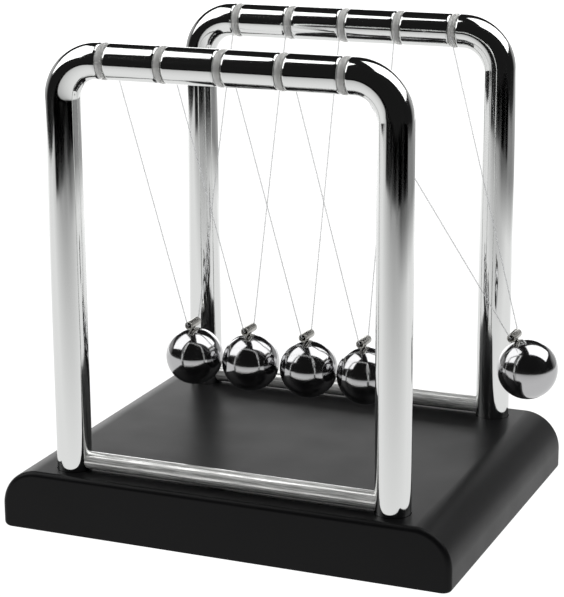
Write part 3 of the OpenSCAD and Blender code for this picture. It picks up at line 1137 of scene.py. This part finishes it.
@dataclass
class Studio:
    """White floor and backdrop, a dark room on the camera's side, two softboxes and the camera."""

    place: tuple[float, float, float] = (0.283742, -0.678959, 0.27773)
    azimuth: float = 22.917
    elevation: float = 15.198
    roll: float = -0.388
    lens: float = 124.49
    sensor: float = 36.0
    front: float = -0.9
    back: float = 1.5
    left: float = -0.78
    right: float = 0.86
    sweep_r: float = 0.35
    top: float = 0.62
    seen_white: float = 1.1
    room_light: float = 0.012

    def axes(self) -> tuple[Vector, Vector, Vector]:
        """Camera axes before its roll: to its right, up and forward.

        Returns:
            The three unit vectors, in that order.
        """
        a, e = math.radians(self.azimuth), math.radians(self.elevation)
        right = Vector((math.cos(a), math.sin(a), 0.0))
        forward = Vector((-math.sin(a) * math.cos(e), math.cos(a) * math.cos(e), -math.sin(e)))
        return right, right.cross(forward), forward

    def make_camera(self) -> None:
        """Camera with no shift and no depth of field, turned by its small roll."""
        right, up, forward = self.axes()
        r = math.radians(self.roll)
        across = right * math.cos(r) + up * math.sin(r)
        upward = up * math.cos(r) - right * math.sin(r)
        data = bpy.data.cameras.new("camera")
        data.lens = self.lens
        data.sensor_width = self.sensor
        data.clip_start = 0.02
        data.clip_end = 20.0
        camera = bpy.data.objects.new("camera", data)
        bpy.context.scene.collection.objects.link(camera)
        turn = Matrix((across, upward, -forward)).transposed().to_4x4()
        camera.matrix_world = Matrix.Translation(self.place) @ turn
        bpy.context.scene.camera = camera

    def make_softbox(self, box: Softbox) -> None:
        """Area light that faces the object and isn't seen by the camera itself.

        Args:
            box: The light's place, size and power.
        """
        data = bpy.data.lights.new(box.name, "AREA")
        data.shape = "RECTANGLE"
        data.size, data.size_y = box.width, box.height
        data.energy = box.power
        light = bpy.data.objects.new(box.name, data)
        bpy.context.scene.collection.objects.link(light)
        direction = Vector(box.direction).normalized()
        aim = direction.to_track_quat("Z", "Y").to_matrix().to_4x4()
        target = Vector((0.0, 0.0, 0.08))
        roll = Matrix.Rotation(math.radians(box.roll), 4, "Z")
        light.matrix_world = Matrix.Translation(target + direction * box.distance) @ aim @ roll
        light.visible_camera = False

    def make_floor(self) -> None:
        """White paper sweep: flat, then a quarter circle up, carried across square to the camera.

        It is wide enough that its edges stay out of the camera's view. It glows: an even white to the
        camera, and painted light and shade where the object reflects it.
        """
        right, _, _ = self.axes()
        ahead = Vector((-right.y, right.x, 0.0))
        turn = self.back - self.sweep_r
        depth = self.front + (turn - self.front) * np.linspace(0.0, 1.0, 80) ** 2
        flat = np.stack([depth, np.zeros_like(depth)], axis=1)
        bend = arc((turn, self.sweep_r), self.sweep_r, -90, 0, 16)[1:]
        profile = np.vstack([flat, bend, [[self.back, self.top]]])
        profile[:, 1] -= 0.05 * MM
        along = profile[:, :1] * np.array(ahead) + profile[:, 1:] * np.array([0.0, 0.0, 1.0])
        rows = [along + side * np.array(right) for side in (self.left, self.right)]
        shell = Shell(np.vstack(rows), grid_faces(2, len(profile), False, False).tolist())
        floor = make_object("floor", shell)
        # The paper is no lamp but glows: plain white to the camera, and painted light and shade in
        # reflections.
        material, tree, output = new_material("white paper glowing with painted light")
        seen = add_node(tree, "ShaderNodeLightPath", {}, {}).outputs["Is Camera Ray"]
        shown = {"data_type": "FLOAT", 3: self.seen_white}
        level = add_node(tree, "ShaderNodeMix", shown, {0: seen, 2: self.painted_paper_light(tree)}).outputs[0]
        paper = add_node(tree, "ShaderNodeEmission", {}, {"Strength": level})
        tree.links.new(paper.outputs[0], output.inputs["Surface"])
        dress(floor, material)

    def painted_paper_light(self, tree: bpy.types.NodeTree) -> Any:
        """Painted light and shade of the glowing paper, as the object reflects it.

        It rises from the camera's side to the back. Beside the object it is dim at the far right, and on
        the camera's side it is dark beyond a circle round the object, where the room begins.

        Args:
            tree: The paper's node tree.

        Returns:
            The output socket of the brightness.
        """
        place = add_node(tree, "ShaderNodeTexCoord", {}, {}).outputs["Object"]
        right, _, _ = self.axes()
        made = {}
        for name, way in (("across", right), ("depth", Vector((-right.y, right.x, 0.0)))):
            dot = {"operation": "DOT_PRODUCT", 1: tuple(way)}
            made[name] = add_node(tree, "ShaderNodeVectorMath", dot, {0: place}).outputs["Value"]
        length = add_node(tree, "ShaderNodeVectorMath", {"operation": "LENGTH"}, {0: place})
        made["away"] = length.outputs["Value"]
        flip = {"operation": "MULTIPLY", 1: -1.0}
        nearer = add_node(tree, "ShaderNodeMath", flip, {0: made["depth"]}).outputs[0]
        around = {0: made["across"], 1: nearer}
        made["turn"] = add_node(tree, "ShaderNodeMath", {"operation": "ARCTAN2"}, around).outputs[0]
        blur = math.radians(4.0)
        room_left, room_right = math.radians(-58.0), math.radians(72.0)
        for name, value, ramp in (
            ("near light", "depth", Ramp(-0.6, -0.1, 0.42, 0.95)),
            ("back light", "depth", Ramp(0.2, 1.0, 0.0, 1.05)),
            ("far", "away", Ramp(0.46, 0.62, 0.0, 0.7)),
            ("on the right", "across", Ramp(0.1, 0.3, 0.0, 1.0)),
            ("beside", "depth", Ramp(0.6, 1.1, 1.0, 0.0)),
            ("past the left", "turn", Ramp(room_left - blur, room_left + blur, 0.0, 1.0)),
            ("before the right", "turn", Ramp(room_right - blur, room_right + blur, 1.0, 0.0)),
            ("beyond", "away", Ramp(0.64, 0.68, 0.0, 1.0)),
        ):
            ramped = add_node(tree, "ShaderNodeMapRange", ramp.settings(), {"Value": made[value]})
            made[name] = ramped.outputs["Result"]
        for name, operation, first, second in (
            ("light", "ADD", "near light", "back light"),
            ("far right", "MULTIPLY", "far", "on the right"),
            ("dim", "MULTIPLY", "far right", "beside"),
            ("room", "MULTIPLY", "past the left", "before the right"),
            ("dark", "MULTIPLY", "room", "beyond"),
            ("shade", "MAXIMUM", "dim", "dark"),
            ("lost", "MULTIPLY", "light", "shade"),
            ("kept", "SUBTRACT", "light", "lost"),
        ):
            pair = {0: made[first], 1: made[second]}
            made[name] = add_node(tree, "ShaderNodeMath", {"operation": operation}, pair).outputs[0]
        return made["kept"]

    def make_world(self) -> None:
        """Surroundings: a dark room to the lights and reflections, plain white to the camera."""
        world = bpy.data.worlds.new("studio")
        world.use_nodes = True
        tree = world.node_tree
        tree.nodes.clear()
        seen = add_node(tree, "ShaderNodeLightPath", {}, {}).outputs["Is Camera Ray"]
        way = add_node(tree, "ShaderNodeTexCoord", {}, {}).outputs["Generated"]
        right, _, _ = self.axes()
        dot = {"operation": "DOT_PRODUCT", 1: (-right.y, right.x, 0.0)}
        toward = add_node(tree, "ShaderNodeVectorMath", dot, {0: way}).outputs["Value"]
        height = add_node(tree, "ShaderNodeSeparateXYZ", {}, {0: way}).outputs["Z"]
        behind, wall = (
            add_node(tree, "ShaderNodeMapRange", ramp.settings(), {"Value": value}).outputs["Result"]
            for ramp, value in ((Ramp(0.25, 0.6, 0.0, 0.45), toward), (Ramp(0.22, 0.34, 1.0, 0.0), height))
        )
        glow = {"operation": "MULTIPLY_ADD", 2: self.room_light}
        room = add_node(tree, "ShaderNodeMath", glow, {0: behind, 1: wall}).outputs[0]
        shown = {"data_type": "FLOAT", 3: self.seen_white}
        level = add_node(tree, "ShaderNodeMix", shown, {0: seen, 2: room}).outputs[0]
        sky = add_node(tree, "ShaderNodeBackground", {"Color": WHITE}, {"Strength": level})
        add_node(tree, "ShaderNodeOutputWorld", {}, {"Surface": sky.outputs[0]})
        bpy.context.scene.world = world

    def build(self) -> None:
        """Makes the camera, the floor, the surroundings and the lights."""
        self.make_camera()
        self.make_floor()
        self.make_world()
        self.make_softbox(Softbox("left softbox", (-0.69, -0.17, 0.70), 30.0, 1.0, 0.85, 0.95, 5.2))
        self.make_softbox(Softbox("right softbox", (0.48, 0.32, 0.815), 0.0, 1.0, 0.88, 1.2, 7.6))
        bpy.context.scene.view_settings.view_transform = "Standard"


def main() -> None:
    """Loads the frame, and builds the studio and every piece."""
    logging.basicConfig(level=logging.INFO, format="%(name)s: %(message)s")
    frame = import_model()
    Studio().build()
    palette = Palette()
    pivots = {joint["child"]: Vector(joint["pos_m"]) for joint in frame["joints"]}
    Base(palette).build(frame["nodes"])
    reach = (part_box("line_1")[1].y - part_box("line_1")[0].y) / 2
    for side, sign in SIDES.items():
        ends = [Vector((p.x, sign * reach, p.z)) for p in (pivots[f"pendulum_{k}"] for k in BALLS)]
        BentFrame(palette, side).build(ends)
    for k in BALLS:
        Pendulum(palette, k, pivots[f"pendulum_{k}"]).build()


if __name__ == "__main__":
    main()
